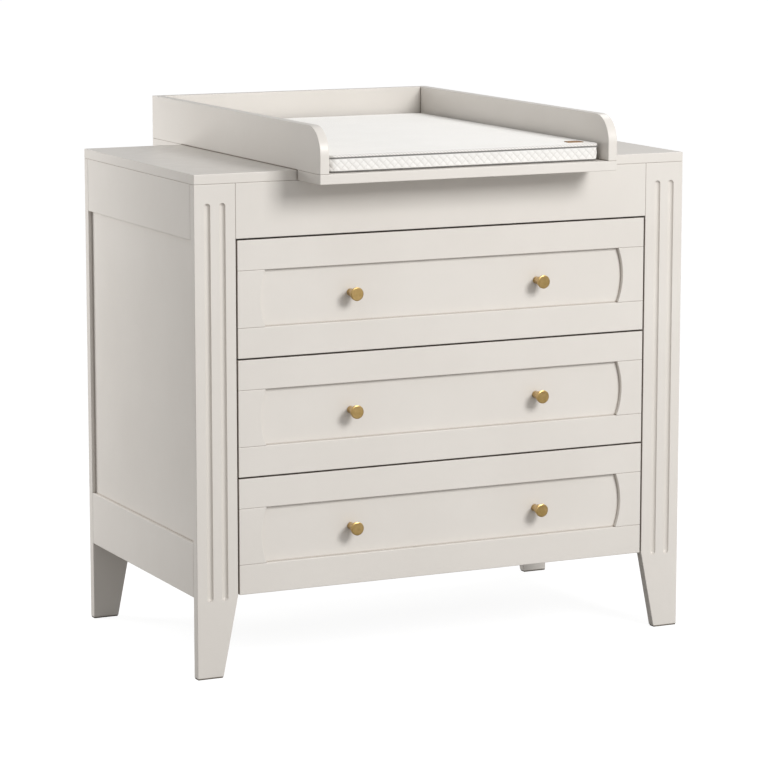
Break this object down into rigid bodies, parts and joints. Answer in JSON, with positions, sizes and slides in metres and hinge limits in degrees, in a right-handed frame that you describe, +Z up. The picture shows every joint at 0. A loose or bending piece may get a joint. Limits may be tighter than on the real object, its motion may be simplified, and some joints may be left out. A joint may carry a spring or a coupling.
{
  "type": "changing table",
  "caption": "Chest of drawers with tapered fluted posts, recessed drawer fronts and brass knobs, with a lift-off changing tray and a quilted mat on top.",
  "frame": {"origin": "on the floor, under the middle of the whole footprint, which the tray sets from front to back", "axes": "+Z up, +X to the viewer's right when facing the drawers, drawers open towards -Y"},
  "size_m": [1, 0.8, 1.0023],
  "materials": {
    "painted_board": "satin warm off-white lacquer",
    "drawer_board": "matt light melamine",
    "cabinet_floor": "matt light melamine",
    "back_board": "matt painted hardboard",
    "batten_wood": "planed pine",
    "brass": "brushed antique brass",
    "steel": "zinc plated",
    "glide_plastic": "moulded",
    "mat_cover": "fine textured knit top",
    "mat_border": "quilted border with diamond stitching",
    "mat_piping": "grey piping",
    "label_leather": "plain brown leather tab"
  },
  "bodies": {
    "chest": {"top_board": "painted_board", "left_side_panel": "painted_board", "right_side_panel": "painted_board", "left_upper_rail": "painted_board", "left_lower_rail": "painted_board", "right_upper_rail": "painted_board", "right_lower_rail": "painted_board", "front_left_post": "painted_board", "front_right_post": "painted_board", "rear_left_post": "painted_board", "rear_right_post": "painted_board", "front_top_rail": "painted_board", "rear_top_rail": "painted_board", "bottom_board": "cabinet_floor", "back_panel": "back_board", "runner_battens": "batten_wood", "cabinet_runners": "steel", "foot_glides": "glide_plastic", "wall_brackets": "steel", "bracket_screws": "steel"},
    "tray": {"tray_left_side": "painted_board", "tray_right_side": "painted_board", "tray_back": "painted_board", "tray_front_board": "painted_board", "tray_rear_board": "painted_board", "tray_screws": "steel"},
    "mat": {"changing_mat": "mat_cover"},
    "upper_drawer": {"upper_drawer_front_rails": "painted_board", "upper_drawer_front_stiles": "painted_board", "upper_drawer_front_panel": "painted_board", "upper_drawer_knobs": "brass", "upper_drawer_knob_screws": "steel", "upper_drawer_left_side": "drawer_board", "upper_drawer_right_side": "drawer_board", "upper_drawer_back": "drawer_board", "upper_drawer_bottom": "drawer_board", "upper_drawer_runner_inner": "steel"},
    "upper_runners": {"upper_drawer_runner_middle": "steel"},
    "middle_drawer": {"middle_drawer_front_rails": "painted_board", "middle_drawer_front_stiles": "painted_board", "middle_drawer_front_panel": "painted_board", "middle_drawer_knobs": "brass", "middle_drawer_knob_screws": "steel", "middle_drawer_left_side": "drawer_board", "middle_drawer_right_side": "drawer_board", "middle_drawer_back": "drawer_board", "middle_drawer_bottom": "drawer_board", "middle_drawer_runner_inner": "steel"},
    "middle_runners": {"middle_drawer_runner_middle": "steel"},
    "lower_drawer": {"lower_drawer_front_rails": "painted_board", "lower_drawer_front_stiles": "painted_board", "lower_drawer_front_panel": "painted_board", "lower_drawer_knobs": "brass", "lower_drawer_knob_screws": "steel", "lower_drawer_left_side": "drawer_board", "lower_drawer_right_side": "drawer_board", "lower_drawer_back": "drawer_board", "lower_drawer_bottom": "drawer_board", "lower_drawer_runner_inner": "steel"},
    "lower_runners": {"lower_drawer_runner_middle": "steel"}
  },
  "joints": [
    {"name": "upper_drawer_slide", "type": "slide", "parent": "chest", "child": "upper_drawer", "axis": [0, -1, 0], "range_m": [0, 0.38]},
    {"name": "upper_runner_slide", "type": "slide", "parent": "chest", "child": "upper_runners", "axis": [0, -1, 0], "range_m": [0, 0.19]},
    {"name": "middle_drawer_slide", "type": "slide", "parent": "chest", "child": "middle_drawer", "axis": [0, -1, 0], "range_m": [0, 0.38]},
    {"name": "middle_runner_slide", "type": "slide", "parent": "chest", "child": "middle_runners", "axis": [0, -1, 0], "range_m": [0, 0.19]},
    {"name": "lower_drawer_slide", "type": "slide", "parent": "chest", "child": "lower_drawer", "axis": [0, -1, 0], "range_m": [0, 0.38]},
    {"name": "lower_runner_slide", "type": "slide", "parent": "chest", "child": "lower_runners", "axis": [0, -1, 0], "range_m": [0, 0.19]},
    {"name": "tray_lift", "type": "slide", "parent": "chest", "child": "tray", "axis": [0, 0, 1], "range_m": [0, 0.15]},
    {"name": "mat_lift", "type": "slide", "parent": "tray", "child": "mat", "axis": [0, 0, 1], "range_m": [0, 0.12]}
  ],
  "couplings": [
    {"joint": "upper_runner_slide", "follows": "upper_drawer_slide", "ratio": 0.5},
    {"joint": "middle_runner_slide", "follows": "middle_drawer_slide", "ratio": 0.5},
    {"joint": "lower_runner_slide", "follows": "lower_drawer_slide", "ratio": 0.5}
  ]
}
